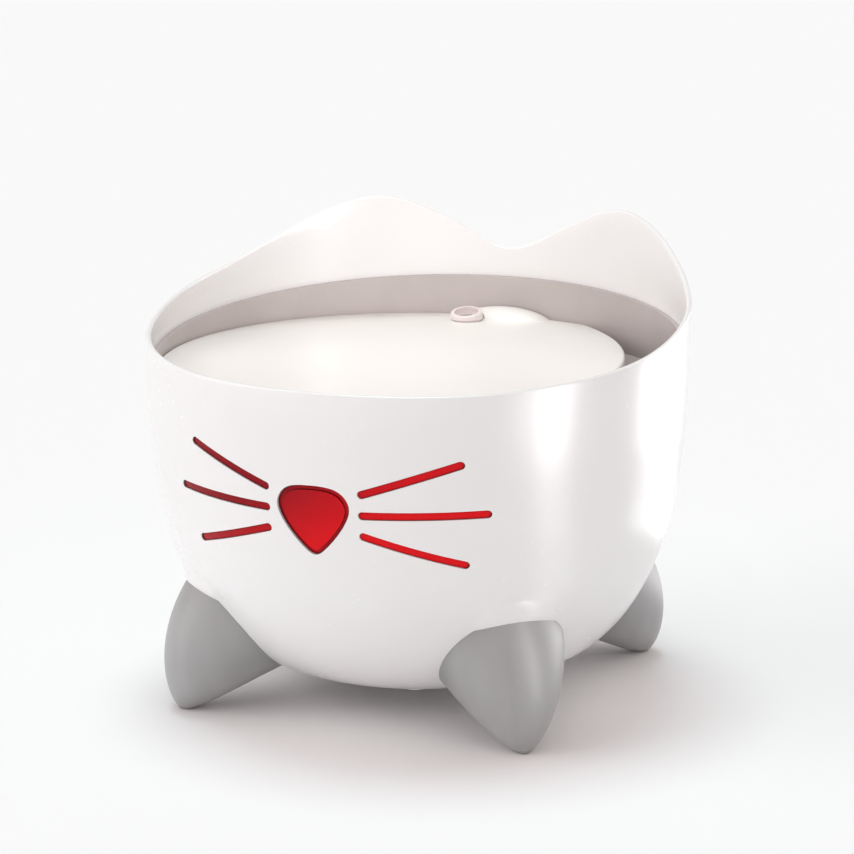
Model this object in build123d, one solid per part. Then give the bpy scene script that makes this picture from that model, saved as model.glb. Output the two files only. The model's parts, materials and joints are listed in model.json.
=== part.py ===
from build123d import *
import os
from math import asin, atan2, cos, degrees, pi, radians, sin, sqrt

# A pet drinking fountain: a bowl-shaped casing on four cone feet, with an eared splash guard, a lit
# nose and whiskers, an inner tub, a submersible pump, a round filter and a lift-off drinking dish.
# Millimetres. +Z is up, z = 0 is the table, and the Z axis is the bowl's axis. The face looks to -Y.
# A bearing is an angle in degrees about Z, from the face towards +X.

os.makedirs("parts", exist_ok=True)

# ---- Casing ----
BOWL_R = 122.5  # widest outside radius
BOWL_POLE_Z = 10.3  # where the belly curve would meet the axis
WIDE_ABOVE_RIM = 4.8  # height over the front rim at which the wall turns vertical
BELLY_RISE = 2.42  # exponents of the belly curve
BELLY_ROUND = 4.06
BASE_FLAT_R = 54.0  # flat underside
WALL = 2.4
RIM_ROUND = 1.0

# ---- Rim: height at the face, at the ear tips and between the ears at the back ----
RIM_FRONT_Z = 160.0
EAR_H = 46.6
EAR_BEARING = 149.0
NAPE_H = 22.2
EAR_TOP_Z = RIM_FRONT_Z + EAR_H
NAPE_Z = RIM_FRONT_Z + NAPE_H
BOWL_WIDE_Z = RIM_FRONT_Z + WIDE_ABOVE_RIM
# bearing and share of the rise from the front rim to the ear tip, then of the fall to the nape
RIM_RISE = [(40, 0.01), (52, 0.04), (64, 0.08), (76, 0.146), (88, 0.24), (100, 0.343),
            (110, 0.427), (118, 0.54), (126, 0.678), (134, 0.833), (142, 0.953)]
RIM_FALL = [(156, 0.889), (163, 0.64), (170, 0.336), (175, 0.107)]

# ---- Feet ----
LEG_BEARINGS = {"front_right": 45, "rear_right": 132, "rear_left": -132, "front_left": -45}
LEG_INSET = 7.2
LEG_TIP_R = BOWL_R - LEG_INSET  # where the foot's centre line starts
LEG_TIP_Z = -0.8  # the table's plane cuts the tip flat
LEG_LEAN = 20.2  # lean from upright at the tip, inwards
LEG_BEND = 0.584  # degrees that the lean grows for each mm
LEG_GIRTH = 33.2  # largest radius
LEG_BLUNT = 0.72  # lower is blunter
LEG_LENGTH = 80.0  # of the envelope, most of it inside the bowl
LEG_SECTIONS = [0.5, 2.2, 5, 10, 20, 34, 50, 66]
SHOULDER_Z = 55.0  # middle of the bowl's swelling over each foot
SHOULDER_RISE = 3.0
SHOULDER_SIZE = (34.0, 26.0, 26.0)
PAD_H = 1.8  # the foot's soft tip
PAD_INSET = 2.4
PAD_CENTRE_R = LEG_TIP_R - PAD_INSET
PAD_PEG_R = 2.0
PAD_PEG_H = 4.0
LEG_BOSS_R = 6.5  # boss inside the casing under each foot's screw
LEG_BOSS_H = 6.0
LEG_SCREW_R = 2.0
LEG_SCREW_HEAD_R = 4.0
LEG_SCREW_HEAD_H = 3.0
LEG_SCREW_GRIP = 14.0  # thread inside the foot
SCREW_PLAY = 0.25

# ---- Face lights ----
NOSE_W = 32.8
NOSE_TOP_Z = 120.0
NOSE_TIP_Z = 89.0
NOSE_SHAPE = [(0, 1), (0.45, 0.985), (0.77, 0.92), (1, 0.72), (0.89, 0.5), (0.61, 0.277), (0.3, 0.096),
              (0, 0)]
# for each row: x and z of the inner end, x and z of the outer end
WHISKER_ROWS = [(21.8, 117.4, 60.7, 130.4), (21.8, 108.1, 69.7, 108.6), (21.8, 98.8, 60.5, 86.1)]
WHISKER_W = 3.6
LENS_SINK = 0.7  # lens face below the casing's face
NOSE_STEP = 0.7  # border of the nose lens below its middle
NOSE_BORDER = 2.2
LENS_PLAY = 0.12
LENS_FLANGE = 1.6
LENS_PLATE = 1.8
LIGHT_BOX_HALF_W = 36.0
LIGHT_BOX_Z = (86.5, 119.5)
LIGHT_BOX_WALL = 1.6
LED_BOARD_INSET = 18.0
LED_BOARD_BACK_Y = LED_BOARD_INSET - BOWL_R
LED_BOARD_MARGIN = 0.2
BOARD_T = 1.6
LED_SIZE = (3.5, 2.8, 1.9)
LED_PLACES = [(-6, 110), (6, 110), (0, 99), (-27, 113), (-27, 105), (-27, 96), (27, 113), (27, 105), (27, 96)]
LIGHT_DIVIDER_X = 19.1
LED_SCREW_R = 1.1
LED_BOSS_R = 2.4

# ---- Tub ----
TUB_GAP = 22.5  # between the tub's skin and the bowl's
TUB_R = BOWL_R - TUB_GAP
TUB_POLE_Z = 25.0
TUB_RISE = 2.2
TUB_ROUND = 3.0
TUB_FLAT_R = BASE_FLAT_R
TUB_WALL = 2.0
DISH_DROP = 10.9  # from the front rim down to the dish's edge
DISH_EDGE_Z = RIM_FRONT_Z - DISH_DROP
TUB_BAND_H = 12.1  # from the top of the flare up to the dish's edge
TUB_FLARE_H = 16.0
TUB_FLARE_TOP_Z = DISH_EDGE_Z - TUB_BAND_H
TUB_WIDE_Z = TUB_FLARE_TOP_Z - TUB_FLARE_H
TUB_BAND_T = 4.5
TUB_MOUTH_R = BOWL_R - TUB_BAND_T  # inside radius above the flare
TUB_RIM_DROP = 6.0
TUB_RIM_FRONT_Z = RIM_FRONT_Z - TUB_RIM_DROP
TUB_RIM_RISE = 2.9
TUB_RIM_AXIS_Z = TUB_RIM_FRONT_Z + TUB_RIM_RISE  # height of the sloping rim plane on the axis
TUB_RIM_SLOPE = 0.094  # rise of the rim for each mm towards the back
TUB_POST_R = 4.5
TUB_POST_RING_R = 57.0
TUB_POST_BEARINGS = [20, 110, -70, -160]
LUG_BEARINGS = [-20, -75, -140, 10, 170]
LUG_W = 12.0
LUG_REACH = 4.6
LUG_H = 5.0

# ---- Base cover, power inlet and driver board ----
BASE_OPEN_R = 40.0
COVER_R = 49.8
COVER_PLAY = 0.2
COVER_T = 2.0
BASE_RING_H = 2.2  # thickened ring inside, round the opening
BASE_BOSS_R = 4.0
BASE_BOSS_H = 8.0
COVER_SCREW_RING_R = 45.0
COVER_SCREW_R = 1.4
COVER_SCREW_HEAD_R = 2.8
COVER_SCREW_L = 7.0
STANDOFF_H = 1.2
STANDOFF_R = 3.0
BOARD_X = 26.0
BOARD_Y = (-22.0, 29.0)
BOARD_SCREW_INSET = 4.0
BOARD_SCREW_R = 1.1
PUMP_HEADER_X = (-25.0, -18.0)
PUMP_HEADER_Y = (-8.0, 0.0)
LED_HEADER_X = (-4.0, 4.0)
LED_HEADER_Y = (-21.0, -16.0)
HEADER_H = 6.0
LED_LEAD_X = 24.0
INLET_R = 5.6
INLET_WALL = 1.6
INLET_FLOOR_Y = 42.0
INLET_FLOOR_T = 2.0
INLET_INTO_BOARD = 5.6  # jack axis above the driver board
JACK_W = 9.0
JACK_L = 14.0
JACK_NOSE_R = 4.0
JACK_BORE_R = 3.2
JACK_BORE_L = 9.0
JACK_PIN_R = 1.0

# ---- Drinking dish and spout ----
DISH_CROWN = 1.5
DISH_PLAY = 0.5
DISH_T = 2.2
DISH_SKIRT_H = 7.0
DISH_SKIRT_T = 1.8
FILL_MOUTH_W = 27.2  # widest gap between the dish and the tub, on +X
MOUTH_ARC_X = -59.0  # centre of the arc that cuts the dish back there
MOUTH_ARC_R = TUB_MOUTH_R - DISH_PLAY - FILL_MOUTH_W - MOUTH_ARC_X
MOUTH_CORNER = 7.0
DISH_LIP = 1.4
SWELL_INSET = 6.0
SWELL_Y = TUB_MOUTH_R - SWELL_INSET  # finger swell at the back of the dish
SWELL_SIZE = (28.0, 15.2, 12.0)
SWELL_RISE = 5.2
SPOUT_X = -14.0
SPOUT_INSET = 20.0
SPOUT_Y = TUB_MOUTH_R - SPOUT_INSET
SPOUT_R = 7.7
SPOUT_H = 4.2
SPOUT_TILT = 11.0
SPOUT_BORE_R = 4.6
SPOUT_MOUTH_R = 5.9
SPOUT_MOUTH_DEPTH = 3.0
SPOUT_ROUND = 0.6
SPOUT_GROOVE = 0.6
SPOUT_MOAT = 0.9  # gap round the ring where it stands in the finger swell
RIB_T = 1.6
RIB_PLACES = [-70, -35, 0, 35, 70]
SPOUT_STEM_R = 7.0
SPOUT_SLEEVE_L = 3.5  # how far the stem reaches down over the riser tube
SPOUT_PLAY = 0.15
DISH_LIFT = 90.0

# ---- Filter ----
FILTER_Y = -27.0
FILTER_INSET = 34.0
FILTER_R = TUB_R - FILTER_INSET
FILTER_DROP = 12.0  # from where the tub's wall turns vertical down to the basket's floor
FILTER_Z = TUB_WIDE_Z - FILTER_DROP
FILTER_H = 22.0
FILTER_WALL = 1.8
FILTER_SLOT_W = 4.0
FILTER_SLOT_PITCH = 9.0
CARBON_H = 11.0
FIBRE_H = 6.0
FILTER_PLAY = 0.3
STAND_RING_H = 4.0
STAND_LEDGE = 9.0
STAND_RING_IN_R = FILTER_R - STAND_LEDGE
STAND_LEG_R = 3.5
STAND_LEG_INSET = 3.0
STAND_LEG_RING_R = FILTER_R - STAND_LEG_INSET
STAND_LEG_BEARINGS = [0, 125, -125]

# ---- Pump: its shaft lies along X ----
PUMP_Y = 26.0
PUMP_W = 34.0  # across Y
PUMP_H = 34.0
PUMP_ROUND = 3.0
PUMP_CUP_H = 5.0
MOTOR_X = (-32.0, -9.0)
CHAMBER_L = 12.0
CHAMBER_BORE_R = 12.0
INTAKE_PLATE_T = 1.8
INTAKE_R = 5.0
INTAKE_HUB_R = 2.4
INTAKE_SPOKE_W = 1.4
OUTLET_BORE_R = 2.8
OUTLET_H = 4.5
ROTOR_WELL_R = 6.6
ROTOR_WELL_FLOOR = 3.0
ROTOR_MAGNET_R = 6.0
ROTOR_END_GAP = 1.0
BLADE_COUNT = 6
BLADE_T = 1.2
BLADE_R = 10.8
BLADE_W = 6.5
ROTOR_DISC_T = 1.4
SHAFT_R = 1.0
SHAFT_PLAY = 0.05
SHAFT_SEAT = 1.5
STRAINER_L = 15.0
STRAINER_WALL = 1.6
STRAINER_SLOT_W = 2.2
STRAINER_SLOT_PITCH = 5.0
STRAINER_PLAY = 0.2
STRAINER_LIP_L = 2.5
STRAINER_TRAVEL = 20.0
SPONGE_T = 9.0
DIAL_R = 6.0
DIAL_T = 3.0
DIAL_RISE = 7.0  # dial's axis above the shaft
DIAL_STUD_R = 2.5
DIAL_STUD_L = 3.5
CUP_R = 4.5
CUP_STEM_R = 2.2
CUP_STEM_L = 3.0
CUP_INSET = 4.5

# ---- Riser tube and leads ----
RISER_R = 5.5
RISER_BORE_R = 4.0
RISER_PLAY = 0.08
RISER_KNEE_Z = 84.0
RISER_ELBOW_RISE = 10.0
RISER_ELBOW_Z = TUB_WIDE_Z + RISER_ELBOW_RISE
RISER_DROP = 6.1  # from the dish's edge down to the tube's end
RISER_TOP_Z = DISH_EDGE_Z - RISER_DROP
SPOUT_STEM_FOOT_Z = RISER_TOP_Z - SPOUT_SLEEVE_L
RISER_BENDS = [12.0, 14.0]
LEAD_R = 1.8
LED_LEAD_R = 1.2
LEAD_BEND = 3.0
LEAD_PLAY = 0.05
GAP_STEPS_Z = [112, 92, 72, 54, 40]
PUMP_LEAD_INSET = 28.0
PUMP_LEAD_R = TUB_R - PUMP_LEAD_INSET  # radius at which the pump's lead climbs inside the tub
PUMP_LEAD_EXIT_R = BOWL_R - WALL - 2.5 * LEAD_R
PUMP_LEAD_Z = 62.0
GROMMET_BEARING = -110.0
GROMMET_RISE = 6.5
GROMMET_Z = TUB_WIDE_Z + GROMMET_RISE
GROMMET_R = 3.8
GROMMET_OUT = 6.8
GROMMET_MID_R = TUB_R + GROMMET_OUT
GROMMET_L = 9.0
GROMMET_COLLAR_R = 5.2
LED_LEAD_BEARING = 13.5


def belly_point(angle, inset, radius, pole_z, wide_z, rise, roundness):
    """Point of a belly curve, moved inwards by inset along its own normal."""

    def bare(a):
        return radius * sin(a) ** (2 / roundness), wide_z - (wide_z - pole_z) * max(cos(a), 0) ** (2 / rise)

    step = 1e-4
    mid = min(angle, pi / 2 - 2 * step)
    r, z = bare(angle)
    r0, z0 = bare(mid - step)
    r1, z1 = bare(mid + step)
    run, climb = r1 - r0, z1 - z0
    size = sqrt(run * run + climb * climb)
    return r - inset * climb / size, z + inset * run / size


def belly_points(inset, flat_r, radius, pole_z, wide_z, rise, roundness, steps=8):
    """Belly curve from the edge of its flat underside up to where it turns vertical."""
    first = asin((flat_r / radius) ** (roundness / 2))
    angles = [first + (pi / 2 - first) * (i / steps) ** 1.5 for i in range(steps)]
    curve = [belly_point(a, inset, radius, pole_z, wide_z, rise, roundness) for a in angles]
    return curve + [(radius - inset, wide_z)]


def turned(points, curve):
    """Solid of revolution about Z: a polyline of (r, z) points closed by a smooth curve."""
    with BuildPart() as made:
        with BuildSketch(Plane.YZ):
            with BuildLine():
                Polyline(*points)
                Spline(*curve)
            make_face()
        revolve(axis=Axis.Z)
    return made.part


CASING_SHAPE = (BASE_FLAT_R, BOWL_R, BOWL_POLE_Z, BOWL_WIDE_Z, BELLY_RISE, BELLY_ROUND)
TUB_SHAPE = (TUB_FLAT_R, TUB_R, TUB_POLE_Z, TUB_WIDE_Z, TUB_RISE, TUB_ROUND)
CASING_TOP_Z = EAR_TOP_Z + 20
FLAT_Z = belly_points(0, *CASING_SHAPE)[0][1]  # casing's flat underside
FLOOR_Z = belly_points(WALL, *CASING_SHAPE)[0][1]  # casing's floor, inside
TUB_UNDER_Z = belly_points(0, *TUB_SHAPE)[0][1]
TUB_FLOOR_Z = belly_points(TUB_WALL, *TUB_SHAPE)[0][1]
BOARD_Z = FLAT_Z + COVER_T + STANDOFF_H
JACK_Z = BOARD_Z + BOARD_T + INLET_INTO_BOARD
SHAFT_Z = TUB_FLOOR_Z + PUMP_CUP_H + PUMP_H / 2
CHAMBER_END = MOTOR_X[1] + CHAMBER_L
OUTLET_X = (MOTOR_X[1] + CHAMBER_END) / 2
PUMP_TOP_Z = SHAFT_Z + PUMP_H / 2
STRAINER_X = CHAMBER_END + INTAKE_PLATE_T
DISH_R = TUB_MOUTH_R - DISH_PLAY
DISH_FOOT_Z = DISH_EDGE_Z - DISH_SKIRT_H


def belly_angle(z, inset, shape):
    """Place on a belly curve, as its angle, at a height."""
    flat_r, radius, pole_z, wide_z, rise, roundness = shape
    low, high = asin((flat_r / radius) ** (roundness / 2)), pi / 2
    for _ in range(40):
        mid = (low + high) / 2
        if belly_point(mid, inset, *shape[1:])[1] < z:
            low = mid
        else:
            high = mid
    return low


def belly_r(z, inset, shape):
    """Radius of a belly's skin at a height."""
    return belly_point(belly_angle(z, inset, shape), inset, *shape[1:])[0]


def around(bearing, r, z):
    """Point at a bearing, a radius and a height."""
    return (r * sin(radians(bearing)), -r * cos(radians(bearing)), z)


def gap_points(bearing):
    """Points down the middle of the gap between the tub and the casing."""
    mids = [(belly_r(z, WALL, CASING_SHAPE) + belly_r(z, 0, TUB_SHAPE)) / 2 for z in GAP_STEPS_Z]
    return [around(bearing, r, z) for r, z in zip(mids, GAP_STEPS_Z)]


def casing_solid(inset):
    """The bowl as a full solid, with its skin moved inwards by inset."""
    curve = belly_points(inset, *CASING_SHAPE)
    wall_r = BOWL_R - inset
    upper = [(wall_r, BOWL_WIDE_Z + (CASING_TOP_Z - BOWL_WIDE_Z) * k / 3) for k in (1, 2, 3)]
    return turned([curve[0], (0, curve[0][1]), (0, CASING_TOP_Z), (wall_r, CASING_TOP_Z)], curve + upper)


def rim_line(radius):
    """The rim's closed line on an upright cylinder of this radius."""
    up, down = EAR_TOP_Z - RIM_FRONT_Z, EAR_TOP_Z - NAPE_Z
    heights = [(0, RIM_FRONT_Z)] + [(b, RIM_FRONT_Z + share * up) for b, share in RIM_RISE]
    heights += [(EAR_BEARING, EAR_TOP_Z)] + [(b, NAPE_Z + share * down) for b, share in RIM_FALL]
    heights += [(180, NAPE_Z)]
    half = [(radius * sin(radians(b)), -radius * cos(radians(b)), z) for b, z in reversed(heights)]
    other = [(-x, y, z) for x, y, z in reversed(half[1:-1])]
    return Edge.make_spline([Vector(*p) for p in half + other], periodic=True)


def above_rim():
    """Everything above the rim line, to cut away."""
    sheet = Face.make_surface_from_curves(rim_line(BOWL_R - 12), rim_line(BOWL_R + 8))
    return Solid.extrude(sheet, Vector(0, 0, CASING_TOP_Z - RIM_FRONT_Z + 30))


def leg_frame(along):
    """Plane across a foot's centre line, for a foot at the face. Its Z points up the line, inwards."""
    curve = radians(LEG_BEND)
    start = radians(LEG_LEAN)
    lean = start + curve * along
    r = LEG_TIP_R - (cos(start) - cos(lean)) / curve
    z = LEG_TIP_Z + (sin(lean) - sin(start)) / curve
    return Plane(origin=(0, -r, z), x_dir=(1, 0, 0), z_dir=(0, sin(lean), cos(lean)))


def leg_envelope():
    """The whole cone of a foot, from its tip to inside the bowl."""
    rings = []
    for along in LEG_SECTIONS:
        girth = LEG_GIRTH * (1 - (1 - along / LEG_LENGTH) ** 2) ** LEG_BLUNT
        rings.append(leg_frame(along) * Circle(girth))
    return loft(rings)


def lying(radius, length, frame, start=0.0):
    """Cylinder along the Z of a plane, from start."""
    return frame * Pos(0, 0, start + length / 2) * Cylinder(radius, length)


def block(x, y, z):
    """Box between two corners, given as ranges."""
    size = (x[1] - x[0], y[1] - y[0], z[1] - z[0])
    return Pos((x[0] + x[1]) / 2, (y[0] + y[1]) / 2, (z[0] + z[1]) / 2) * Box(*size)


def upright(radius, low, high, x=0.0, y=0.0):
    """Vertical cylinder between two heights."""
    return Pos(x, y, (low + high) / 2) * Cylinder(radius, high - low)


def along_x(radius, low, high, y=PUMP_Y, z=SHAFT_Z):
    """Cylinder along X between two places."""
    return Pos((low + high) / 2, y, z) * Rot(0, 90, 0) * Cylinder(radius, high - low)


def along_y(radius, low, high, x=0.0, z=JACK_Z):
    """Cylinder along Y between two places."""
    return Pos(x, (low + high) / 2, z) * Rot(90, 0, 0) * Cylinder(radius, high - low)


def at_bearing(bearing):
    return Rot(0, 0, bearing)


# ---------------------------------------------------------------- feet



def leg_at_skin():
    """Plane across a foot's centre line where the line meets the casing's skin."""
    low, high = 0.0, LEG_LENGTH
    for _ in range(40):
        mid = (low + high) / 2
        at = leg_frame(mid).origin
        if at.Z < FLAT_Z or -at.Y > belly_r(at.Z, 0, CASING_SHAPE):
            low = mid
        else:
            high = mid
    return leg_frame(low)


SKIN_FRAME = leg_at_skin()
# The screw's axis runs down and out along the foot, from the casing's skin at s = 0.
SCREW_OUT = Plane(origin=SKIN_FRAME.origin, x_dir=(1, 0, 0), z_dir=-SKIN_FRAME.z_dir)


def leg_screw():
    head = lying(LEG_SCREW_HEAD_R, LEG_SCREW_HEAD_H, SCREW_OUT, -LEG_BOSS_H - LEG_SCREW_HEAD_H)
    shank = lying(LEG_SCREW_R, LEG_SCREW_GRIP + LEG_BOSS_H, SCREW_OUT, -LEG_BOSS_H)
    slot = SCREW_OUT * Pos(0, 0, -LEG_BOSS_H - LEG_SCREW_HEAD_H) * Box(5.6, 1.0, 2.6)
    cross = SCREW_OUT * Pos(0, 0, -LEG_BOSS_H - LEG_SCREW_HEAD_H) * Box(1.0, 5.6, 2.6)
    return head + shank - slot - cross


def leg_boss():
    """Boss on the casing's inner face that the head of a foot's screw bears on."""
    return lying(LEG_BOSS_R, LEG_BOSS_H + 4, SCREW_OUT, -LEG_BOSS_H)


def screw_passage():
    return lying(LEG_SCREW_R + SCREW_PLAY, LEG_BOSS_H + 8, SCREW_OUT, -LEG_BOSS_H - 1)


def shoulder():
    """The bowl's swelling over a foot at the face: a ball that breaks its skin."""
    angle = belly_angle(SHOULDER_Z, 0, CASING_SHAPE)
    r, z = belly_point(angle, 0, *CASING_SHAPE[1:])
    r_in, z_in = belly_point(angle, SHOULDER_SIZE[2] - SHOULDER_RISE, *CASING_SHAPE[1:])
    return Pos(0, -r_in, z_in) * scale(Sphere(1), by=SHOULDER_SIZE)


def leg(envelope, bowl):
    """Foot with a seat for its soft tip, a peg hole and a screw hole."""
    made = envelope - bowl - shoulder()
    made -= block((-40, 40), (-BOWL_R - 20, 0), (-20, PAD_H))
    made -= upright(PAD_PEG_R, 0, PAD_H + PAD_PEG_H + 0.5, 0, -PAD_CENTRE_R)
    return made - lying(LEG_SCREW_R, LEG_SCREW_GRIP + LEG_SCREW_R + 1, SCREW_OUT, -LEG_SCREW_R)


def foot_pad(envelope):
    """Soft tip that carries on the foot's form down to the table."""
    tip = envelope & block((-40, 40), (-BOWL_R - 20, 0), (0, PAD_H))
    return tip + upright(PAD_PEG_R, PAD_H - 0.5, PAD_H + PAD_PEG_H, 0, -PAD_CENTRE_R)


# ---------------------------------------------------------------- casing and its base


def nose_outline(grow):
    """The nose's outline in the XZ plane, larger by grow all round."""
    half_w = NOSE_W / 2 + grow
    low, high = NOSE_TIP_Z - grow, NOSE_TOP_Z + grow
    right = [(sx * half_w, low + sz * (high - low)) for sx, sz in NOSE_SHAPE]
    left = [(-x, z) for x, z in reversed(right[1:-1])]
    with BuildSketch(Plane.XZ) as outline:
        with BuildLine():
            Spline(*right, *left, periodic=True)
        make_face()
    return outline.sketch


def whisker_outlines(grow):
    """Three slots in the XZ plane on the +X side of the nose."""
    outlines = []
    for x0, z0, x1, z1 in WHISKER_ROWS:
        reach = sqrt((x1 - x0) ** 2 + (z1 - z0) ** 2)
        tilt = degrees(atan2(z1 - z0, x1 - x0))
        with BuildSketch(Plane.XZ) as slot:
            with Locations(((x0 + x1) / 2, (z0 + z1) / 2)):
                SlotCenterToCenter(reach, WHISKER_W + 2 * grow, rotation=tilt)
        outlines.append(slot.sketch)
    return outlines


def pushed(outline):
    """An XZ outline pushed through the front wall, well past both faces."""
    return extrude(outline, amount=BOWL_R + 10) - block((-200, 200), (-60, 200), (-10, 300))


def lens(outlines, flanges, skins):
    """Lens pieces that fill their windows, on plates that lie against the casing's inner face."""
    face, inner, plate = skins
    made = None
    for outline in outlines:
        piece = pushed(outline) & (face - inner)
        made = piece if made is None else made + piece
    for outline in flanges:
        made += pushed(outline) & (inner - plate)
    return made


def nose_lens(skins):
    border, inner, plate = skins
    made = lens([nose_outline(-LENS_PLAY)], [nose_outline(LENS_FLANGE)], skins)
    raised = pushed(nose_outline(-NOSE_BORDER)) & (casing_solid(LENS_SINK) - inner)
    return made + raised


def whisker_lens(skins):
    """The three bars on the +X side, joined by a web behind their inner ends."""
    (x0, z_top, _, _), _, (_, z_low, _, _) = WHISKER_ROWS
    with BuildSketch(Plane.XZ) as web:
        with Locations((x0 + LENS_FLANGE, (z_top + z_low) / 2)):
            Rectangle(2 * LENS_FLANGE + WHISKER_W, z_top - z_low)
    flanges = whisker_outlines(LENS_FLANGE) + [web.sketch]
    return lens(whisker_outlines(-LENS_PLAY), flanges, skins)


def light_box(inner_skin, lenses):
    """White reflector frame between the lenses and the LED board."""
    low, high = LIGHT_BOX_Z
    back = LED_BOARD_BACK_Y
    outer = block((-LIGHT_BOX_HALF_W, LIGHT_BOX_HALF_W), (-BOWL_R, back), (low, high))
    w = LIGHT_BOX_WALL
    room = block((w - LIGHT_BOX_HALF_W, LIGHT_BOX_HALF_W - w), (-BOWL_R - 1, back + 1), (low + w, high - w))
    made = outer - room
    board_front = back - BOARD_T
    for side in (-1, 1):
        x = side * LIGHT_DIVIDER_X
        made += block((x - w / 2, x + w / 2), (-BOWL_R, board_front), (low + 0.5, high - 0.5))
        made += along_y(LED_BOSS_R, board_front - 6, board_front, x, (low + high) / 2)
        made -= along_y(LED_SCREW_R, board_front - 5, board_front + 1, x, (low + high) / 2)
    made = made & inner_skin
    for piece in lenses:
        made -= piece
    return made


def led_board():
    low, high = LIGHT_BOX_Z
    edge = LIGHT_BOX_WALL + LED_BOARD_MARGIN
    half_w = LIGHT_BOX_HALF_W - edge
    y = (LED_BOARD_BACK_Y - BOARD_T, LED_BOARD_BACK_Y)
    made = block((-half_w, half_w), y, (low + edge, high - edge))
    for x in (-LIGHT_DIVIDER_X, LIGHT_DIVIDER_X):
        made -= along_y(LED_SCREW_R + 0.1, y[0] - 1, y[1] + 1, x, (low + high) / 2)
    return made


def led_chips():
    w, h, t = LED_SIZE
    front = LED_BOARD_BACK_Y - BOARD_T
    return [block((x - w / 2, x + w / 2), (front - t, front), (z - h / 2, z + h / 2)) for x, z in LED_PLACES]


def tub_posts(tub_outer):
    """Posts on the casing's floor that the tub stands on."""
    posts = [at_bearing(b) * upright(TUB_POST_R, FLAT_Z + 1, TUB_FLOOR_Z + 10, 0, -TUB_POST_RING_R)
             for b in TUB_POST_BEARINGS]
    return [post - tub_outer for post in posts]


def outer_shell(bowl, inner, tub_outer):
    body = bowl
    for bearing in LEG_BEARINGS.values():
        body += at_bearing(bearing) * shoulder()
    wall = body - inner - above_rim()
    wall = fillet(wall.edges().filter_by(lambda e: e.length > 4 * BOWL_R).sort_by(Axis.Z)[-2:], RIM_ROUND)
    wall += upright(BASE_FLAT_R - 1, FLAT_Z + 0.5, FLOOR_Z + BASE_RING_H)
    wall += along_y(INLET_R + INLET_WALL, INLET_FLOOR_Y, BOWL_R) & bowl
    for post in tub_posts(tub_outer):
        wall += post
    for bearing in LEG_BEARINGS.values():
        wall += (at_bearing(bearing) * leg_boss()) & bowl
        boss = upright(BASE_BOSS_R, FLOOR_Z, FLOOR_Z + BASE_BOSS_H, 0, -COVER_SCREW_RING_R)
        wall += at_bearing(bearing) * boss
    wall -= upright(BASE_OPEN_R, FLAT_Z - 5, FLOOR_Z + BASE_RING_H + 0.5)
    wall -= upright(COVER_R + COVER_PLAY, FLAT_Z - 5, FLAT_Z + COVER_T)
    wall -= along_y(INLET_R, INLET_FLOOR_Y + INLET_FLOOR_T, BOWL_R + 5)
    wall -= along_y(JACK_NOSE_R + COVER_PLAY, INLET_FLOOR_Y - 1, INLET_FLOOR_Y + INLET_FLOOR_T + 1)
    wall -= pushed(nose_outline(0))
    for outline in whisker_outlines(0):
        wall -= pushed(outline)
        wall -= mirror(pushed(outline), about=Plane.YZ)
    for bearing in LEG_BEARINGS.values():
        wall -= at_bearing(bearing) * screw_passage()
        pilot = upright(COVER_SCREW_R, 0, FLAT_Z + COVER_SCREW_L + 0.5, 0, -COVER_SCREW_RING_R)
        wall -= at_bearing(bearing) * pilot
    return wall


def base_cover():
    plate = upright(COVER_R, FLAT_Z, FLAT_Z + COVER_T)
    head = cover_screw_head()
    for bearing in LEG_BEARINGS.values():
        plate -= at_bearing(bearing) * head
        plate -= at_bearing(bearing) * upright(COVER_SCREW_R + SCREW_PLAY, 0, BOARD_Z, 0, -COVER_SCREW_RING_R)
    for x, y in board_corners():
        plate += upright(STANDOFF_R, FLAT_Z + COVER_T, BOARD_Z, x, y)
        plate -= upright(BOARD_SCREW_R, FLAT_Z + 0.8, BOARD_Z + 1, x, y)
    return plate


def cover_screw_head():
    height = COVER_SCREW_HEAD_R - COVER_SCREW_R
    cone = Cone(COVER_SCREW_HEAD_R, COVER_SCREW_R, height)
    return Pos(0, -COVER_SCREW_RING_R, FLAT_Z + height / 2) * cone


def cover_screw():
    made = cover_screw_head()
    made += upright(COVER_SCREW_R, FLAT_Z + 1, FLAT_Z + COVER_SCREW_L, 0, -COVER_SCREW_RING_R)
    slot = Pos(0, -COVER_SCREW_RING_R, FLAT_Z) * Box(3.6, 0.8, 1.4)
    return made - slot - Pos(0, -COVER_SCREW_RING_R, FLAT_Z) * Box(0.8, 3.6, 1.4)


# ---------------------------------------------------------------- electronics


def board_corners():
    edge = BOARD_SCREW_INSET
    return [(x * (BOARD_X - edge), y) for x in (-1, 1) for y in (BOARD_Y[0] + edge, BOARD_Y[1] - edge)]


def driver_board():
    made = block((-BOARD_X, BOARD_X), BOARD_Y, (BOARD_Z, BOARD_Z + BOARD_T))
    made = fillet(made.edges().filter_by(Axis.Z), 3)
    for x, y in board_corners():
        made -= upright(BOARD_SCREW_R + 0.1, BOARD_Z - 1, BOARD_Z + BOARD_T + 1, x, y)
    return made


def board_parts():
    """Capacitor, coil, controller chip, two lead headers."""
    top = BOARD_Z + BOARD_T
    capacitor = fillet(upright(4, top, top + 9, -14, 8).edges().sort_by(Axis.Z)[-1], 0.8)
    coil = block((6, 14), (4, 12), (top, top + 5))
    chip = block((-5, 3), (-12, -5), (top, top + 1.6))
    pump_header = block(PUMP_HEADER_X, PUMP_HEADER_Y, (top, top + HEADER_H))
    led_header = block(LED_HEADER_X, LED_HEADER_Y, (top, top + HEADER_H))
    return [capacitor, coil, chip, pump_header, led_header]


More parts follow.
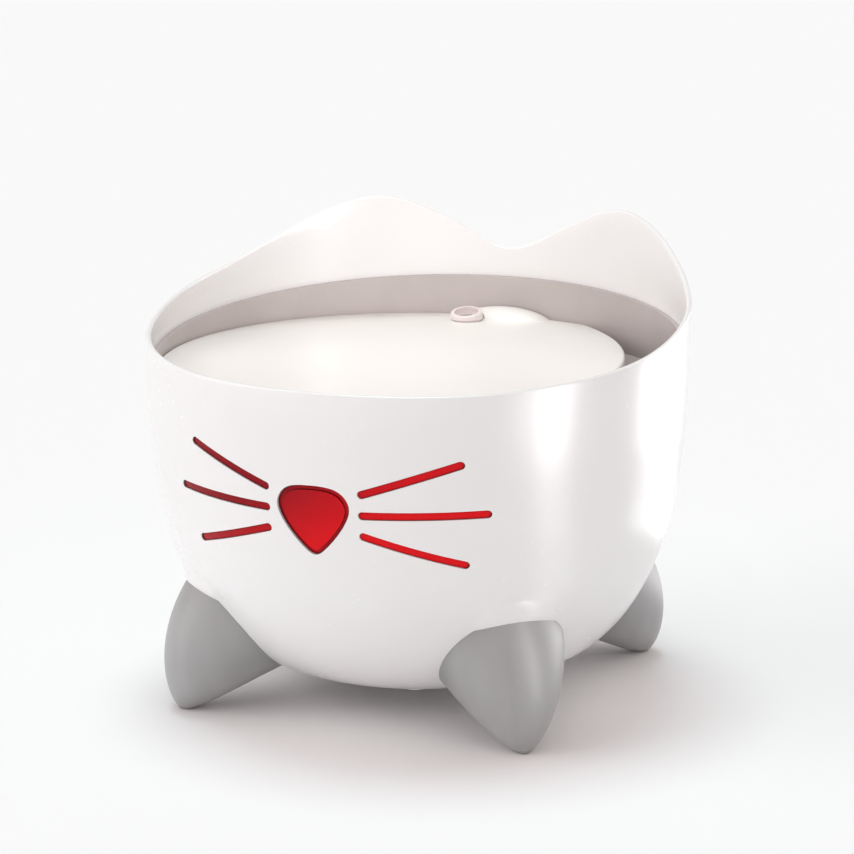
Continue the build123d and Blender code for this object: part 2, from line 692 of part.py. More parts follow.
def board_screws():
    top = BOARD_Z + BOARD_T
    made = []
    for x, y in board_corners():
        pan = upright(2.2, top, top + 1.6, x, y)
        pan = fillet(pan.edges().sort_by(Axis.Z)[-1], 0.6)
        made.append(pan + upright(BOARD_SCREW_R, FLAT_Z + 1, top, x, y))
    return made


def power_jack():
    """Barrel socket on the driver board's rear edge, its nose through the inlet's floor."""
    half = JACK_W / 2
    low = BOARD_Z + BOARD_T
    body = block((-half, half), (INLET_FLOOR_Y - JACK_L, INLET_FLOOR_Y), (low, JACK_Z + half))
    body = fillet(body.edges().filter_by(Axis.Y), 0.8)
    face_y = INLET_FLOOR_Y + INLET_FLOOR_T
    body += along_y(JACK_NOSE_R, INLET_FLOOR_Y - 1, face_y)
    body -= along_y(JACK_BORE_R, face_y - JACK_BORE_L, face_y + 1)
    return body + along_y(JACK_PIN_R, face_y - JACK_BORE_L - 1, face_y - 1)


def led_screws():
    z = (LIGHT_BOX_Z[0] + LIGHT_BOX_Z[1]) / 2
    made = []
    for x in (-LIGHT_DIVIDER_X, LIGHT_DIVIDER_X):
        head = along_y(2.2, LED_BOARD_BACK_Y, LED_BOARD_BACK_Y + 1.4, x, z)
        made.append(head + along_y(LED_SCREW_R, LED_BOARD_BACK_Y - BOARD_T - 4, LED_BOARD_BACK_Y, x, z))
    return made


def swept_tube(points, bends, radius, bore=0.0):
    """Round tube along straight runs joined by tangent arcs."""
    with BuildPart() as tube:
        with BuildLine() as route:
            FilletPolyline(*points, radius=bends)
        start = Plane(origin=route.line @ 0, z_dir=route.line % 0)
        with BuildSketch(start):
            Circle(radius)
            if bore:
                Circle(bore, mode=Mode.SUBTRACT)
        sweep()
    return tube.part


# ---------------------------------------------------------------- tub


def tub_solid(inset):
    """The tub as a full solid below its flared mouth, with its skin moved inwards by inset."""
    curve = belly_points(inset, *TUB_SHAPE)
    wall_r = TUB_R - inset
    mouth_r = TUB_MOUTH_R if inset else BOWL_R
    flare_z = TUB_FLARE_TOP_Z + inset
    points = [curve[0], (0, curve[0][1]), (0, CASING_TOP_Z), (mouth_r, CASING_TOP_Z)]
    points += [(mouth_r, flare_z), (wall_r, TUB_WIDE_Z + inset * 0.5)]
    if inset:
        curve = curve[:-1] + [(wall_r, TUB_WIDE_Z + inset * 0.5)]
    return turned(points, curve)


def tub(tub_outer, tub_room, inner_skin):
    made = (tub_outer & inner_skin) - tub_room
    far = BOWL_R + 20
    break_y = (TUB_RIM_FRONT_Z - TUB_RIM_AXIS_Z) / TUB_RIM_SLOPE
    with BuildPart() as above:
        with BuildSketch(Plane.YZ):
            with BuildLine():
                Polyline(
                    (-far, TUB_RIM_FRONT_Z), (break_y, TUB_RIM_FRONT_Z),
                    (far, TUB_RIM_AXIS_Z + TUB_RIM_SLOPE * far), (far, CASING_TOP_Z + 20),
                    (-far, CASING_TOP_Z + 20), close=True)
            make_face()
        extrude(amount=far, both=True)
    made -= above.part
    for bearing in LUG_BEARINGS:
        made += at_bearing(bearing) * dish_lug()
    return made - grommet_body() - grommet_bar(GROMMET_R, 2 * GROMMET_L)


def dish_lug():
    """Small ledge on the tub's wall that carries the dish."""
    far = TUB_MOUTH_R + 0.8
    near = TUB_MOUTH_R - LUG_REACH
    with BuildPart() as lug:
        with BuildSketch(Plane.YZ):
            with BuildLine():
                Polyline((-near, DISH_FOOT_Z), (-far, DISH_FOOT_Z), (-far, DISH_FOOT_Z - LUG_H - LUG_REACH),
                         (-near, DISH_FOOT_Z - LUG_H + 2), close=True)
            make_face()
        extrude(amount=LUG_W / 2, both=True)
    return lug.part


def grommet_bar(radius, length):
    """Cylinder through the tub's flare, where the pump's lead leaves it."""
    bar = along_y(radius, -GROMMET_MID_R - length / 2, -GROMMET_MID_R + length / 2, 0, GROMMET_Z)
    return at_bearing(GROMMET_BEARING) * bar


def grommet_body():
    inner_end = GROMMET_MID_R - GROMMET_L / 2
    collar = along_y(GROMMET_COLLAR_R, -inner_end - 1.5, -inner_end, 0, GROMMET_Z)
    return grommet_bar(GROMMET_R, GROMMET_L) + at_bearing(GROMMET_BEARING) * collar


def lead_grommet():
    return grommet_body() - grommet_bar(LEAD_R + LEAD_PLAY, 4 * GROMMET_L)


def pump_lead():
    """Lead from the motor, up inside the tub, out through the grommet, down the gap, to the driver board."""
    x = MOTOR_X[0]
    header_x, header_y = PUMP_HEADER_X[0], sum(PUMP_HEADER_Y) / 2
    header_z = BOARD_Z + BOARD_T + 3.5
    bearing = GROMMET_BEARING
    points = [(x, PUMP_Y, PUMP_LEAD_Z), (x - 10, PUMP_Y, PUMP_LEAD_Z)]
    points += [around(bearing, PUMP_LEAD_R, PUMP_LEAD_Z + 8), around(bearing, PUMP_LEAD_R, GROMMET_Z)]
    points += [around(bearing, PUMP_LEAD_EXIT_R, GROMMET_Z)]
    points += gap_points(bearing)
    points += [around(bearing, 66, 25), (header_x - 10, header_y, header_z), (header_x, header_y, header_z)]
    return swept_tube(points, LEAD_BEND, LEAD_R)


def led_lead():
    """Lead from the LED board down the gap to the driver board."""
    bearing = LED_LEAD_BEARING
    x, z = LED_LEAD_X, GAP_STEPS_Z[1] + 6
    header_z = BOARD_Z + BOARD_T + 6
    header_y = sum(LED_HEADER_Y) / 2
    points = [(x, LED_BOARD_BACK_Y, z), (x, LED_BOARD_BACK_Y + 4, z)]
    points += gap_points(bearing)[2:]
    points += [around(bearing, 62, 25.5), (0, header_y - 8, header_z + 3), (0, header_y, header_z + 3)]
    points += [(0, header_y, header_z)]
    return swept_tube(points, 2.0, LED_LEAD_R)


# ---------------------------------------------------------------- dish and spout


CROWN_R = (DISH_R ** 2 + DISH_CROWN ** 2) / (2 * DISH_CROWN)


def crown_z(r, drop=0.0):
    """Height of the dish's gently crowned face at a radius."""
    return DISH_EDGE_Z + DISH_CROWN - drop - CROWN_R + sqrt(CROWN_R ** 2 - r ** 2)


def crown(drop=0.0):
    """Everything under the crowned face, lowered by drop."""
    reach = DISH_R + 20
    low = DISH_FOOT_Z - 10
    with BuildPart() as cap:
        with BuildSketch(Plane.XZ):
            with BuildLine():
                Polyline((0, crown_z(0, drop)), (0, low), (reach, low), (reach, crown_z(reach, drop)))
                RadiusArc((reach, crown_z(reach, drop)), (0, crown_z(0, drop)), -CROWN_R)
            make_face()
        revolve(axis=Axis.Z)
    return cap.part


def dish_plan(inset, low, high):
    """The dish's outline as an upright solid: a disc cut back by the fill mouth's arc."""
    with BuildPart() as plan:
        with BuildSketch(Plane.XY.offset(low)) as outline:
            Circle(DISH_R - inset)
            with Locations((MOUTH_ARC_X, 0)):
                Circle(MOUTH_ARC_R - inset, mode=Mode.INTERSECT)
            fillet(outline.vertices(), MOUTH_CORNER - inset)
        extrude(amount=high - low)
    return plan.part


def finger_swell():
    """Rounded swell in the dish's rear edge, to lift it by."""
    ball = scale(Sphere(1), by=SWELL_SIZE)
    made = Pos(0, SWELL_Y, DISH_EDGE_Z + SWELL_RISE - SWELL_SIZE[2]) * ball
    made &= upright(DISH_R - 0.4, DISH_EDGE_Z - 1.2, DISH_EDGE_Z + 20)
    return made


def drinking_dish():
    plate = dish_plan(0, DISH_FOOT_Z, DISH_EDGE_Z + 5) & crown()
    top_edges = plate.edges().filter_by(lambda e: e.bounding_box().min.Z > DISH_EDGE_Z - 1)
    plate = fillet(top_edges, DISH_LIP)
    room = dish_plan(DISH_SKIRT_T, DISH_FOOT_Z - 1, DISH_EDGE_Z + 5) & crown(DISH_T)
    made = plate - room + finger_swell()
    for y in RIB_PLACES:
        rib = block((-BOWL_R, BOWL_R), (y - RIB_T / 2, y + RIB_T / 2), (DISH_FOOT_Z + 1, DISH_EDGE_Z))
        made += rib & room
    seat = crown_z(sqrt(SPOUT_X ** 2 + SPOUT_Y ** 2))
    made -= upright(SPOUT_R + SPOUT_MOAT, seat, DISH_EDGE_Z + 20, SPOUT_X, SPOUT_Y)
    return made - upright(SPOUT_STEM_R + SPOUT_PLAY, DISH_FOOT_Z - 2, seat + 1, SPOUT_X, SPOUT_Y)


def spout_ring():
    """Tilted ring on the dish, with a stem that drops over the riser tube."""
    seat = crown_z(sqrt(SPOUT_X ** 2 + SPOUT_Y ** 2))
    stem_top = seat + SPOUT_GROOVE
    frame = Pos(SPOUT_X, SPOUT_Y, seat) * Rot(SPOUT_TILT, 0, 0)
    head = frame * Pos(0, 0, -1) * Cylinder(SPOUT_R, 2 * SPOUT_H + 2)
    head -= upright(4 * SPOUT_R, seat - 20, stem_top, SPOUT_X, SPOUT_Y)
    head = fillet(head.edges().sort_by(Axis.Z)[-1], SPOUT_ROUND)
    made = head + upright(SPOUT_STEM_R, SPOUT_STEM_FOOT_Z, stem_top + 0.5, SPOUT_X, SPOUT_Y)
    made -= frame * Cylinder(SPOUT_BORE_R, 40)
    made -= frame * Pos(0, 0, SPOUT_H - SPOUT_MOUTH_DEPTH + 10) * Cylinder(SPOUT_MOUTH_R, 20)
    sleeve = RISER_R + SPOUT_PLAY
    return made - upright(sleeve, SPOUT_STEM_FOOT_Z - 5, RISER_TOP_Z + 0.3, SPOUT_X, SPOUT_Y)


# ---------------------------------------------------------------- filter

FILTER_TOP_Z = FILTER_Z + FILTER_H
FILTER_BORE_R = FILTER_R - FILTER_WALL


def filter_disc(radius, low, high):
    return upright(radius, low, high, 0, FILTER_Y)


def filter_stand(tub_room):
    """Ring on three legs that stand on the tub."""
    ring_z = (FILTER_Z - STAND_RING_H, FILTER_Z)
    made = filter_disc(FILTER_R + 1.5, *ring_z) - filter_disc(STAND_RING_IN_R, ring_z[0] - 1, ring_z[1] + 1)
    for bearing in STAND_LEG_BEARINGS:
        x, y, _ = around(bearing, STAND_LEG_RING_R, 0)
        made += upright(STAND_LEG_R, TUB_UNDER_Z - 5, ring_z[0] + 1, x, y + FILTER_Y) & tub_room
    return made


def filter_basket():
    made = filter_disc(FILTER_R, FILTER_Z, FILTER_TOP_Z)
    made -= filter_disc(FILTER_BORE_R, FILTER_Z + FILTER_WALL, FILTER_TOP_Z + 1)
    slots = int((FILTER_BORE_R - 6) // FILTER_SLOT_PITCH)
    floor = (FILTER_Z - 1, FILTER_Z + FILTER_WALL + 1)
    for i in range(-slots, slots + 1):
        x = i * FILTER_SLOT_PITCH
        half = sqrt((FILTER_BORE_R - 3) ** 2 - x ** 2)
        slot = (x - FILTER_SLOT_W / 2, x + FILTER_SLOT_W / 2)
        made -= block(slot, (FILTER_Y - half, FILTER_Y + half), floor)
    rail = (FILTER_Y - 1, FILTER_Y + 1)
    return made + block((1 - FILTER_BORE_R, FILTER_BORE_R - 1), rail, (FILTER_Z, FILTER_Z + FILTER_WALL))


def carbon_pack():
    low = FILTER_Z + FILTER_WALL
    made = filter_disc(FILTER_BORE_R - FILTER_PLAY, low, low + CARBON_H)
    return chamfer(made.edges(), 0.8)


def fibre_pad():
    low = FILTER_Z + FILTER_WALL + CARBON_H
    made = filter_disc(FILTER_BORE_R - FILTER_PLAY, low, low + FIBRE_H)
    return fillet(made.edges().sort_by(Axis.Z)[-1], 1.5)


# ---------------------------------------------------------------- pump

PUMP_YS = (PUMP_Y - PUMP_W / 2, PUMP_Y + PUMP_W / 2)
PUMP_ZS = (SHAFT_Z - PUMP_H / 2, PUMP_TOP_Z)
CUP_XS = (MOTOR_X[0] + CUP_INSET + 1, MOTOR_X[1] - CUP_INSET)
CUP_PLACES = [(x, PUMP_Y + side * (PUMP_W / 2 - CUP_INSET - 1)) for x in CUP_XS for side in (-1, 1)]
OUTLET_STUB_R = RISER_BORE_R - RISER_PLAY
LIP_HALF = PUMP_W / 2 - STRAINER_WALL - STRAINER_PLAY
ROTOR_BACK_X = MOTOR_X[0] + ROTOR_WELL_FLOOR
DIAL_Z = SHAFT_Z + DIAL_RISE


def pump_body():
    made = block(MOTOR_X, PUMP_YS, PUMP_ZS)
    made = fillet(made.edges().filter_by(Axis.X), PUMP_ROUND)
    made = fillet(made.faces().sort_by(Axis.X)[0].edges(), PUMP_ROUND * 0.6)
    made -= along_x(ROTOR_WELL_R, ROTOR_BACK_X, MOTOR_X[1] + 1)
    made -= along_x(SHAFT_R, ROTOR_BACK_X - SHAFT_SEAT, ROTOR_BACK_X + 1)
    for x, y in CUP_PLACES:
        made -= upright(CUP_STEM_R, PUMP_ZS[0] - 1, PUMP_ZS[0] + CUP_STEM_L, x, y)
    return made


def pump_chamber():
    """Front half of the pump: impeller room, outlet stub, intake with shaft support, strainer lip."""
    made = block((MOTOR_X[1], STRAINER_X), PUMP_YS, PUMP_ZS)
    made = fillet(made.edges().filter_by(Axis.X), PUMP_ROUND)
    lip = block((STRAINER_X, STRAINER_X + STRAINER_LIP_L), (PUMP_Y - LIP_HALF, PUMP_Y + LIP_HALF),
                (SHAFT_Z - LIP_HALF, SHAFT_Z + LIP_HALF))
    lip = fillet(lip.edges().filter_by(Axis.X), PUMP_ROUND - STRAINER_WALL - STRAINER_PLAY)
    inner = LIP_HALF - STRAINER_WALL
    room = ((PUMP_Y - inner, PUMP_Y + inner), (SHAFT_Z - inner, SHAFT_Z + inner))
    lip -= block((STRAINER_X - 1, STRAINER_X + 10), *room)
    made += lip
    made += upright(OUTLET_STUB_R, PUMP_TOP_Z - 1, PUMP_TOP_Z + OUTLET_H, OUTLET_X, PUMP_Y)
    made -= along_x(CHAMBER_BORE_R, MOTOR_X[1] - 1, CHAMBER_END)
    made -= upright(OUTLET_BORE_R, SHAFT_Z + CHAMBER_BORE_R - 3, PUMP_TOP_Z + OUTLET_H + 1, OUTLET_X, PUMP_Y)
    intake = along_x(INTAKE_R, CHAMBER_END - 1, STRAINER_X + 1)
    spokes = block((CHAMBER_END, STRAINER_X), (PUMP_Y - INTAKE_SPOKE_W / 2, PUMP_Y + INTAKE_SPOKE_W / 2),
                   (SHAFT_Z - INTAKE_R - 1, SHAFT_Z + INTAKE_R + 1))
    made = made - intake + spokes + along_x(INTAKE_HUB_R, CHAMBER_END, STRAINER_X)
    made -= along_x(SHAFT_R, CHAMBER_END - 1, STRAINER_X + 1)
    stud = along_y(DIAL_STUD_R + SHAFT_PLAY, PUMP_YS[0] - 1, PUMP_YS[0] + DIAL_STUD_L + 0.3, OUTLET_X, DIAL_Z)
    return made - stud


def impeller():
    magnet_end = MOTOR_X[1] - 0.5
    made = along_x(ROTOR_MAGNET_R, ROTOR_BACK_X + ROTOR_END_GAP, magnet_end)
    disc_x = (magnet_end, magnet_end + ROTOR_DISC_T)
    made += along_x(ROTOR_MAGNET_R - 1.5, magnet_end - 1, disc_x[1] + BLADE_W * 0.6)
    shift = 1.0
    made += along_x(BLADE_R, disc_x[0] + shift, disc_x[1] + shift)
    for i in range(BLADE_COUNT):
        blade = block((disc_x[1], disc_x[1] + shift + BLADE_W), (-BLADE_T / 2, BLADE_T / 2), (2.0, BLADE_R))
        made += Pos(0, PUMP_Y, SHAFT_Z) * Rot(360 / BLADE_COUNT * i, 0, 0) * blade
    return made - along_x(SHAFT_R + SHAFT_PLAY, MOTOR_X[0] - 10, STRAINER_X + 10)


def rotor_shaft():
    return along_x(SHAFT_R, ROTOR_BACK_X - SHAFT_SEAT, STRAINER_X - 0.3)


def strainer_cover():
    """Cup over the pump's intake, slotted all round."""
    x = (STRAINER_X, STRAINER_X + STRAINER_L)
    made = block(x, PUMP_YS, PUMP_ZS)
    made = fillet(made.edges().filter_by(Axis.X), PUMP_ROUND)
    made = fillet(made.faces().sort_by(Axis.X)[-1].edges(), PUMP_ROUND * 0.6)
    half = PUMP_W / 2 - STRAINER_WALL
    room = ((PUMP_Y - half, PUMP_Y + half), (SHAFT_Z - half, SHAFT_Z + half))
    made -= block((x[0] - 1, x[1] - STRAINER_WALL), *room)
    slots = int((half - 3) // STRAINER_SLOT_PITCH)
    for i in range(-slots, slots + 1):
        at = i * STRAINER_SLOT_PITCH
        w = STRAINER_SLOT_W / 2
        run = (x[0] + STRAINER_LIP_L + 2, x[1] - 2.5)
        across = (PUMP_Y + at - w, PUMP_Y + at + w)
        made -= block(run, across, (SHAFT_Z - PUMP_H, SHAFT_Z + PUMP_H))
        made -= block(run, (PUMP_Y - PUMP_W, PUMP_Y + PUMP_W), (SHAFT_Z + at - w, SHAFT_Z + at + w))
        made -= block((x[1] - 3, x[1] + 1), across, (SHAFT_Z - half + 3, SHAFT_Z + half - 3))
    return made


def intake_sponge():
    half = PUMP_W / 2 - STRAINER_WALL - STRAINER_PLAY
    end = STRAINER_X + STRAINER_L - STRAINER_WALL
    made = block((end - SPONGE_T, end), (PUMP_Y - half, PUMP_Y + half), (SHAFT_Z - half, SHAFT_Z + half))
    return fillet(made.edges().filter_by(Axis.X), 1.0)


def flow_knob():
    face = PUMP_YS[0]
    made = along_y(DIAL_R, face - DIAL_T - 0.2, face - 0.2, OUTLET_X, DIAL_Z)
    made = fillet(made.edges().sort_by(Axis.Y)[0], 0.5)
    grip = (OUTLET_X - DIAL_R + 1, OUTLET_X + DIAL_R - 1)
    made += block(grip, (face - DIAL_T - 2, face - DIAL_T), (DIAL_Z - 0.8, DIAL_Z + 0.8))
    return made + along_y(DIAL_STUD_R, face - 1, face + DIAL_STUD_L, OUTLET_X, DIAL_Z)


def suction_cup(x, y):
    low, high = TUB_FLOOR_Z, PUMP_ZS[0]
    cone = Pos(x, y, low + 1) * Cone(CUP_R, CUP_STEM_R + 0.6, 2)
    hollow = Pos(x, y, low + 0.4) * Cone(CUP_R - 1, 1.2, 0.8)
    made = cone + upright(CUP_STEM_R + 0.6, low + 2, high, x, y) - hollow
    return made + upright(CUP_STEM_R, high, high + CUP_STEM_L, x, y)


def riser_tube():
    low = PUMP_TOP_Z + 0.5
    points = [(OUTLET_X, PUMP_Y, low), (OUTLET_X, PUMP_Y, RISER_KNEE_Z)]
    points += [(SPOUT_X, SPOUT_Y, RISER_ELBOW_Z), (SPOUT_X, SPOUT_Y, RISER_TOP_Z)]
    return swept_tube(points, RISER_BENDS, RISER_R, RISER_BORE_R)


def write(name, shape):
    """Writes one node's STEP file. A list is written as a group of separate solids."""
    if isinstance(shape, list):
        shape = Compound(children=[s for s in shape])
    export_step(shape, f"parts/{name}.step")


envelope = leg_envelope()
bowl = casing_solid(0)
inner_skin = casing_solid(WALL)
tub_outer = tub_solid(0)
tub_room = tub_solid(TUB_WALL)

lens_skins = (casing_solid(LENS_SINK), inner_skin, casing_solid(WALL + LENS_PLATE))
nose_skins = (casing_solid(LENS_SINK + NOSE_STEP), inner_skin, lens_skins[2])
nose = nose_lens(nose_skins)
whisker_right = whisker_lens(lens_skins)
whisker_left = mirror(whisker_right, about=Plane.YZ)

write("outer_shell", outer_shell(bowl, inner_skin, tub_outer))
write("base_cover", base_cover())
write("cover_screws", [at_bearing(b) * cover_screw() for b in LEG_BEARINGS.values()])
for name, bearing in LEG_BEARINGS.items():
    write(f"leg_{name}", at_bearing(bearing) * leg(envelope, bowl))
write("leg_screws", [at_bearing(b) * leg_screw() for b in LEG_BEARINGS.values()])
write("foot_pads", [at_bearing(b) * foot_pad(envelope) for b in LEG_BEARINGS.values()])
write("nose_lens", nose)
write("whisker_lens_left", whisker_left)
write("whisker_lens_right", whisker_right)
write("light_box", light_box(inner_skin, [nose, whisker_left, whisker_right]))
write("led_board", led_board())
write("led_chips", led_chips())
write("led_screws", led_screws())
write("driver_board", driver_board())
write("board_parts", board_parts())
write("board_screws", board_screws())
write("power_jack", power_jack())
write("tub", tub(tub_outer, tub_room, inner_skin))
write("lead_grommet", lead_grommet())
write("pump_lead", pump_lead())
write("led_lead", led_lead())
write("drinking_dish", drinking_dish())
write("spout_ring", spout_ring())
write("filter_stand", filter_stand(tub_room))
write("filter_basket", filter_basket())
write("carbon_pack", carbon_pack())
write("fibre_pad", fibre_pad())
write("pump_body", pump_body())
write("pump_chamber", pump_chamber())
write("impeller", impeller())
write("rotor_shaft", rotor_shaft())
write("strainer_cover", strainer_cover())
write("intake_sponge", intake_sponge())
write("flow_knob", flow_knob())
write("suction_cups", [suction_cup(x, y) for x, y in CUP_PLACES])
write("riser_tube", riser_tube())
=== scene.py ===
# %% [markdown]
# A drinking fountain for a cat or a small dog. Its solid parts come from the CAD frame, already in
# Blender adds what a solid model does not carry: gloss, grain, fibre, foam and
# the light in which it stands. This first cell loads the frame. Small lengths are written as so
# many times MM.

# %% Load the frame
import json
import math

import bmesh
import bpy
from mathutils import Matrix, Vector, noise


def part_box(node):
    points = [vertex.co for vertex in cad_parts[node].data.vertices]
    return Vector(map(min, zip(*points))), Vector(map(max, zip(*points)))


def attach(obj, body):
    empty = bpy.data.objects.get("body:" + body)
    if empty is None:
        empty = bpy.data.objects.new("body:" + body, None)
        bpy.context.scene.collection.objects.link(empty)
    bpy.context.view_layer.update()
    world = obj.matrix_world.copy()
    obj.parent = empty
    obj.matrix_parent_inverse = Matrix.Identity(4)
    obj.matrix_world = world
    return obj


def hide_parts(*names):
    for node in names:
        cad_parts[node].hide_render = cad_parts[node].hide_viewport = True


MM = 0.001

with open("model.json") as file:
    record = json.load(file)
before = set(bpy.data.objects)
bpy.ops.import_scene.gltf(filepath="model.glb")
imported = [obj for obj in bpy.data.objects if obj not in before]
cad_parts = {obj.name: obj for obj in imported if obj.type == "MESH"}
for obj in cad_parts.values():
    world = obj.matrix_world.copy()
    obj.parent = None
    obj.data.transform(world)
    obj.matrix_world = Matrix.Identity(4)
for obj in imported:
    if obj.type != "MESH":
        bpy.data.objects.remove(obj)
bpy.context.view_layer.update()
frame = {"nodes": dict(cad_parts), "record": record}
nodes = frame["nodes"]
slot_of = {entry["node"]: entry["material_slot"] for entry in frame["record"]["subparts"]}

# %% [markdown]
# The camera comes first, because every other choice is judged through it. It stands in front of the
# face, a little to the right and above, with a long lens, which keeps the bowl's sides nearly
# parallel. It could be dragged into place by eye, but a bearing, an elevation and a distance from
# the point that it looks at can be adjusted one at a time. The same helpers place the lamps later.


# %% Camera
def outward(bearing, elevation):
    """Unit vector away from the fountain; its bearing, in degrees, turns from the face to +X."""
    a, e = math.radians(bearing), math.radians(elevation)
    return Vector((math.sin(a) * math.cos(e), -math.cos(a) * math.cos(e), math.sin(e)))


def new_object(name, data):
    made = bpy.data.objects.new(name, data)
    bpy.context.scene.collection.objects.link(made)
    return made


def turn_back(thing, away):
    """Turns a camera or a lamp, which look along their own -Z, to look against a direction."""
    thing.rotation_euler = away.to_track_quat("Z", "Y").to_euler()


CAMERA_BEARING, CAMERA_ELEVATION, CAMERA_DISTANCE = 21.65, 13.22, 1.300
AIM_RIGHT, AIM_HEIGHT = 0.0038, 0.11863

azimuth = math.radians(CAMERA_BEARING)
back = outward(CAMERA_BEARING, CAMERA_ELEVATION)
right = Vector((math.cos(azimuth), math.sin(azimuth), 0))
aim = right * AIM_RIGHT + Vector((0, 0, AIM_HEIGHT))

camera_data = bpy.data.cameras.new("camera")
camera_data.sensor_width = 36
camera_data.lens = 120.56
camera = new_object("camera", camera_data)
camera.location = aim + back * CAMERA_DISTANCE
turn_back(camera, back)
bpy.context.scene.camera = camera
print("camera at", [round(v, 4) for v in camera.location])

# %% [markdown]
# Shader sums are easier to read as Python sums. A Signal is one output of a node; adding or
# multiplying Signals adds Math nodes behind the scenes. A Finish is one material with a Principled
# shader at its end. The same trees could be wired by hand in the shader editor, but with these two
# classes a finish takes a few lines, and a change to one number is easy to see.


# %% Signals and finishes
MIX_FIRST, MIX_SECOND, MIX_RESULT = 6, 7, 2  # a Mix node's colour sockets, which share their names
finishes = {}


class Signal:
    """One output socket of a shader node, usable in sums."""

    def __init__(self, finish, socket):
        self.finish, self.socket = finish, socket

    def math(self, operation, first, second):
        settings = {"operation": operation}
        return self.finish.node("ShaderNodeMath", settings, {0: first, 1: second})

    def __add__(self, other):
        return self.math("ADD", self, other)

    def __mul__(self, other):
        return self.math("MULTIPLY", self, other)

    def __sub__(self, other):
        return self.math("SUBTRACT", self, other)

    def __rsub__(self, other):
        return self.math("SUBTRACT", other, self)

    __radd__ = __add__
    __rmul__ = __mul__

    def between(self, low, high):
        """0 below low, 1 above high, smooth in between."""
        settings = {"interpolation_type": "SMOOTHSTEP"}
        inputs = {"Value": self, "From Min": low, "From Max": high}
        return self.finish.node("ShaderNodeMapRange", settings, inputs)


class Finish:
    """A material under construction."""

    def __init__(self, name):
        self.name = name
        self.material = bpy.data.materials.new(name)
        self.material.use_nodes = True
        self.tree = self.material.node_tree
        self.tree.nodes.clear()
        self.shader = self.tree.nodes.new("ShaderNodeBsdfPrincipled")
        output = self.tree.nodes.new("ShaderNodeOutputMaterial")
        self.tree.links.new(self.shader.outputs["BSDF"], output.inputs["Surface"])

    def feed(self, socket, value):
        """Links a Signal to a socket, or sets a number or a colour on the socket itself."""
        if isinstance(value, Signal):
            self.tree.links.new(value.socket, socket)
        elif socket.type == "RGBA":
            socket.default_value = (*value, 1)
        else:
            socket.default_value = value

    def node(self, kind, settings=None, inputs=None, output=0):
        """Adds any node: its settings first, then the values or links of its sockets."""
        made = self.tree.nodes.new(kind)
        for key, value in (settings or {}).items():
            setattr(made, key, value)
        for key, value in (inputs or {}).items():
            self.feed(made.inputs[key], value)
        return Signal(self, made.outputs[output])

    def here(self):
        """Object coordinates, in metres."""
        return self.node("ShaderNodeTexCoord", output="Object")

    def axis(self, name):
        """One of the Object coordinates: X, Y or Z."""
        return self.node("ShaderNodeSeparateXYZ", {}, {"Vector": self.here()}, output=name)

    def grain(self, size, detail=2.0, roughness=0.5, stretch=(1, 1, 1), distortion=0.0):
        """Noise whose blotches are about size metres across."""
        inputs = {
            "Vector": self.node("ShaderNodeMapping", {}, {"Vector": self.here(), "Scale": stretch}),
            "Scale": 1 / size,
            "Detail": detail,
            "Roughness": roughness,
            "Distortion": distortion,
        }
        return self.node("ShaderNodeTexNoise", {}, inputs)

    def cells(self, size, feature="F1"):
        """Cells about size metres across: the distance to a cell's heart, or to its border."""
        inputs = {"Vector": self.here(), "Scale": 1 / size}
        return self.node("ShaderNodeTexVoronoi", {"feature": feature}, inputs, "Distance")

    def openness(self, distance, samples):
        """1 in the open and 0 in a tight corner, as felt within a distance."""
        settings = {"samples": samples}
        return self.node("ShaderNodeAmbientOcclusion", settings, {"Distance": distance}, "AO")

    def blend(self, factor, first, second):
        """Colour between two colours."""
        inputs = {"Factor": factor, MIX_FIRST: first, MIX_SECOND: second}
        return self.node("ShaderNodeMix", {"data_type": "RGBA"}, inputs, MIX_RESULT)

    def bump(self, height, depth):
        """Relief from a 0-to-1 height, depth metres deep."""
        return self.node("ShaderNodeBump", {}, {"Height": height, "Distance": depth})

    def surface(self, **sockets):
        """Feeds the Principled shader, base_color to Base Color, and files the finish."""
        for key, value in sockets.items():
            words = key.replace("_", " ").title().replace("Ior", "IOR")
            self.feed(self.shader.inputs[words], value)
        finishes[self.name] = self.material


def toned(colour, factor):
    """A colour made darker or brighter by a factor."""
    return [channel * factor for channel in colour]


print("ready to mix finishes for", len(set(slot_of.values())), "slots")

# %% [markdown]
# The casing is injection-moulded ABS, glossy and nearly white. Such a wall is never optically flat:
# it has a slow ripple where it shrank behind its ribs, a fine haze from handling, and a little
# variation in gloss. A painted map could carry them, but noise on Object coordinates needs no
# unwrapping and has no seams. All three are kept so faint that they only show in a reflection.


# %% Gloss white casing
def gloss_white(name, colour, roughness, ripple=0.03 * MM):
    finish = Finish(name)
    haze = finish.grain(45 * MM, detail=3)
    dust = finish.grain(2.2 * MM, detail=1).between(0.62, 0.8)
    slow = finish.grain(60 * MM, detail=1)
    finish.surface(
        base_color=finish.blend(haze.between(0.3, 0.7), toned(colour, 0.985), colour),
        roughness=haze * 0.05 + dust * 0.02 + (roughness - 0.03),  # the noises add about 0.03
        specular_ior_level=0.5,
        coat_weight=0.35,
        coat_roughness=0.2,
        normal=finish.bump(slow, ripple),
    )


gloss_white("white_shell", (0.90, 0.90, 0.90), 0.26)
gloss_white("dish_white", (0.91, 0.875, 0.83), 0.36)
gloss_white("spout_white", (0.82, 0.74, 0.72), 0.3, ripple=0.01 * MM)
print("gloss finishes", sorted(finishes))

# %% [markdown]
# The tub is a satin grey-beige plastic and the inner pieces are a plain satin white. Their moulds
# were spark-eroded, which leaves a fine, even stipple that kills the gloss. Modelled stipple would
# take millions of faces, so a bump of a few hundredths of a millimetre stands in for it. One helper
# makes all of these finishes, which differ only in colour and gloss.

